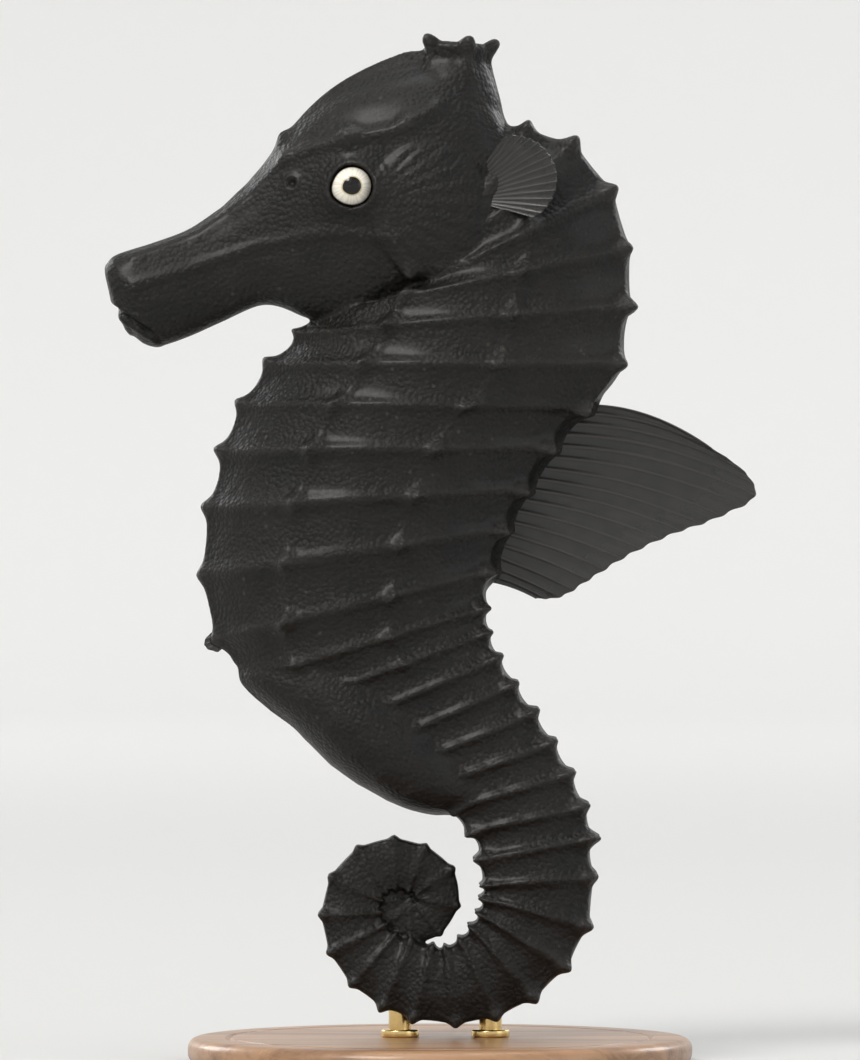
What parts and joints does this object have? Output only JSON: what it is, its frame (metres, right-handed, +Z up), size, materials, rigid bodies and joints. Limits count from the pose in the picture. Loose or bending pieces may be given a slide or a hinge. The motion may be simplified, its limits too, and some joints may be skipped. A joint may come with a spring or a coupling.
{
  "type": "seahorse",
  "caption": "Still, life-size seahorse with ringed body, coronet, brood pouch, ray fins and coiled tail, held over a flat round display stand by short rods.",
  "frame": {"origin": "middle of the stand's flat underside", "axes": "+Z up, -X the way the snout points, Y across the body, which is alike on both sides"},
  "size_m": [0.0749, 0.058, 0.1182],
  "materials": {
    "skin": "near-black bony skin with a fine grain, satin where wet-looking and dull in the grooves between rings",
    "fin": "thin dark membrane between ray ridges, satin",
    "eye": "pale ring round a black pupil under a clear glossy surface",
    "stand_wood": "turned hardwood disc, satin lacquer",
    "stand_rod": "brushed brass"
  },
  "bodies": {
    "root": {"snout": "skin", "lower_jaw": "skin", "head": "skin", "coronet": "skin", "neck": "skin", "trunk": "skin", "tail_base": "skin", "tail_bend": "skin", "tail_loop": "skin", "tail_hook": "skin", "tail_curl": "skin", "tail_tip": "skin", "brood_pouch": "skin", "dorsal_fin": "fin", "pectoral_fin_left": "fin", "pectoral_fin_right": "fin", "anal_fin": "fin", "eye_left": "eye", "eye_right": "eye", "stand_base": "stand_wood", "stand_rod_front": "stand_rod", "stand_rod_back": "stand_rod"}
  },
  "joints": []
}
